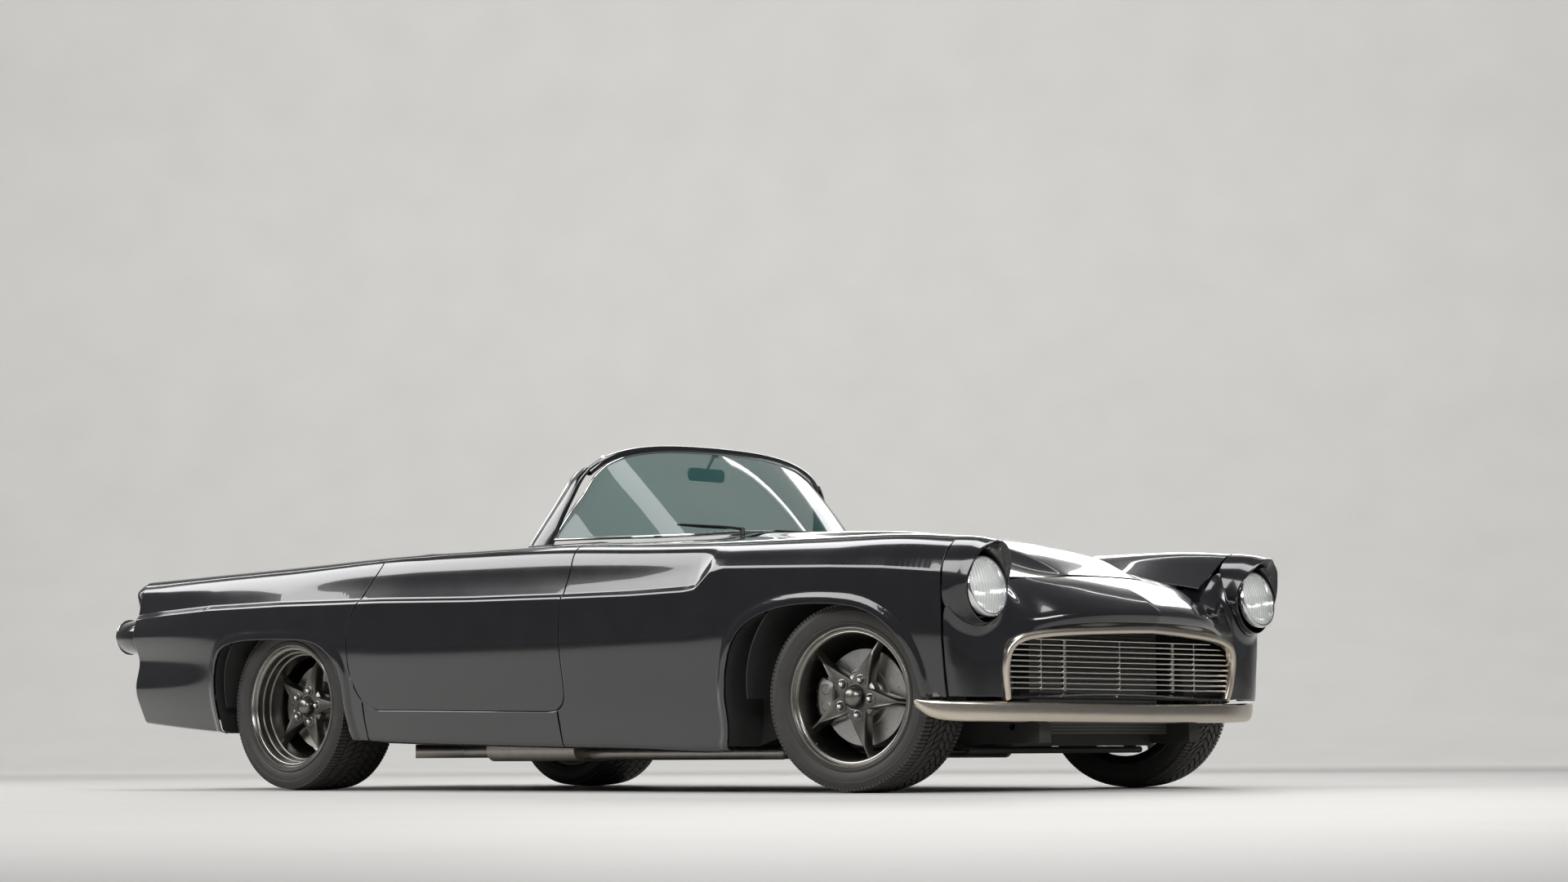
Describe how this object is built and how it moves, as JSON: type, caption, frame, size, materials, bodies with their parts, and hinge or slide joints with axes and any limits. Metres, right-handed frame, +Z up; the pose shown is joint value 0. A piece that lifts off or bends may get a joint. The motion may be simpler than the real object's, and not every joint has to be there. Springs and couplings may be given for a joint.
{
  "type": "classic two-seat convertible car",
  "caption": "Low open two-seat convertible with wrap-around windscreen, hooded round headlamps, arched bar grille, five-spoke wheels, opening doors, bonnet and boot.",
  "frame": {"origin": "on the floor below the middle of the car's length and width", "axes": "+Z up, +X to the car's left, +Y towards the tail, nose towards -Y"},
  "size_m": [1.792, 4.215, 1.191],
  "materials": {
    "body_paint": "deep gloss black paint",
    "bright_trim": "satin bright plating",
    "lamp": "clear fluted lens with bright ring",
    "red_lens": "red lens with bright ring",
    "tinted_glass": "tinted clear glass",
    "wheel_metal": "satin black cast wheel",
    "tyre": "black rubber",
    "frame_paint": "satin black chassis paint",
    "bare_metal": "dull bare metal",
    "cast_engine": "painted castings",
    "pipe_metal": "plain steel pipe",
    "upholstery": "black leather",
    "cabin_trim": "black grained trim",
    "black_trim": "satin black"
  },
  "bodies": {
    "root": {"fender_left": "body_paint", "fender_right": "body_paint", "quarter_left": "body_paint", "quarter_right": "body_paint", "rocker_panels": "body_paint", "rear_deck": "body_paint", "nose_panel": "body_paint", "tail_panel": "body_paint", "tail_lamps": "red_lens", "headlamp_bezels": "body_paint", "headlamps": "lamp", "windshield_glass": "tinted_glass", "windshield_frame": "body_paint", "cowl_and_firewall": "body_paint", "floor_pan": "cabin_trim", "frame_rails": "frame_paint", "frame_members": "frame_paint", "front_suspension": "frame_paint", "rear_axle": "frame_paint", "rear_springs": "frame_paint", "exhaust": "pipe_metal", "engine": "cast_engine", "radiator": "bare_metal", "dashboard": "cabin_trim", "seats": "upholstery", "steering_column": "black_trim", "front_bumper": "bright_trim", "grille_surround": "bright_trim", "grille_bars": "bright_trim", "mirror": "black_trim", "wipers": "black_trim", "fuel_tank": "frame_paint", "wheel_housings": "frame_paint"},
    "hood": {"hood": "body_paint"},
    "trunk_lid": {"trunk_lid": "body_paint"},
    "door_left": {"door_left": "body_paint"},
    "door_right": {"door_right": "body_paint"},
    "steering_wheel": {"steering_wheel": "black_trim"},
    "knuckle_left": {"knuckle_left": "bare_metal"},
    "knuckle_right": {"knuckle_right": "bare_metal"},
    "wheel_front_left": {"wheel_front_left": "wheel_metal", "tyre_front_left": "tyre"},
    "wheel_front_right": {"wheel_front_right": "wheel_metal", "tyre_front_right": "tyre"},
    "wheel_rear_left": {"wheel_rear_left": "wheel_metal", "tyre_rear_left": "tyre"},
    "wheel_rear_right": {"wheel_rear_right": "wheel_metal", "tyre_rear_right": "tyre"}
  },
  "joints": [
    {"name": "hood_hinge", "type": "hinge", "parent": "root", "child": "hood", "pos_m": [0, -1.959, 0.606], "axis": [1, 0, 0], "range_deg": [0, 50]},
    {"name": "trunk_hinge", "type": "hinge", "parent": "root", "child": "trunk_lid", "pos_m": [0, 0.888, 0.776], "axis": [1, 0, 0], "range_deg": [0, 55]},
    {"name": "door_left_hinge", "type": "hinge", "parent": "root", "child": "door_left", "pos_m": [0.866, -0.458, 0.515], "axis": [0, 0, -1], "range_deg": [0, 58]},
    {"name": "door_right_hinge", "type": "hinge", "parent": "root", "child": "door_right", "pos_m": [-0.866, -0.458, 0.515], "axis": [0, 0, 1], "range_deg": [0, 58]},
    {"name": "steer_left", "type": "hinge", "parent": "root", "child": "knuckle_left", "pos_m": [0.655, -1.5075, 0.293], "axis": [0, 0, 1], "range_deg": [-38, 22]},
    {"name": "steer_right", "type": "hinge", "parent": "root", "child": "knuckle_right", "pos_m": [-0.655, -1.5075, 0.293], "axis": [0, 0, 1], "range_deg": [-38, 22]},
    {"name": "steering_wheel_turn", "type": "hinge", "parent": "root", "child": "steering_wheel", "pos_m": [0.36, 0.038, 0.735], "axis": [0, 0.9135, 0.4067], "range_deg": [-535, 310]},
    {"name": "roll_front_left", "type": "hinge", "parent": "knuckle_left", "child": "wheel_front_left", "pos_m": [0.655, -1.5075, 0.293], "axis": [0.9903, 0.1392, 0], "continuous": true},
    {"name": "roll_front_right", "type": "hinge", "parent": "knuckle_right", "child": "wheel_front_right", "pos_m": [-0.655, -1.5075, 0.293], "axis": [0.9903, 0.1392, 0], "continuous": true},
    {"name": "roll_rear_left", "type": "hinge", "parent": "root", "child": "wheel_rear_left", "pos_m": [0.7, 1.0835, 0.298], "axis": [1, 0, 0], "continuous": true},
    {"name": "roll_rear_right", "type": "hinge", "parent": "root", "child": "wheel_rear_right", "pos_m": [-0.7, 1.0835, 0.298], "axis": [1, 0, 0], "continuous": true}
  ],
  "couplings": [
    {"joint": "steer_right", "follows": "steer_left", "ratio": 1},
    {"joint": "steering_wheel_turn", "follows": "steer_left", "ratio": 14}
  ]
}
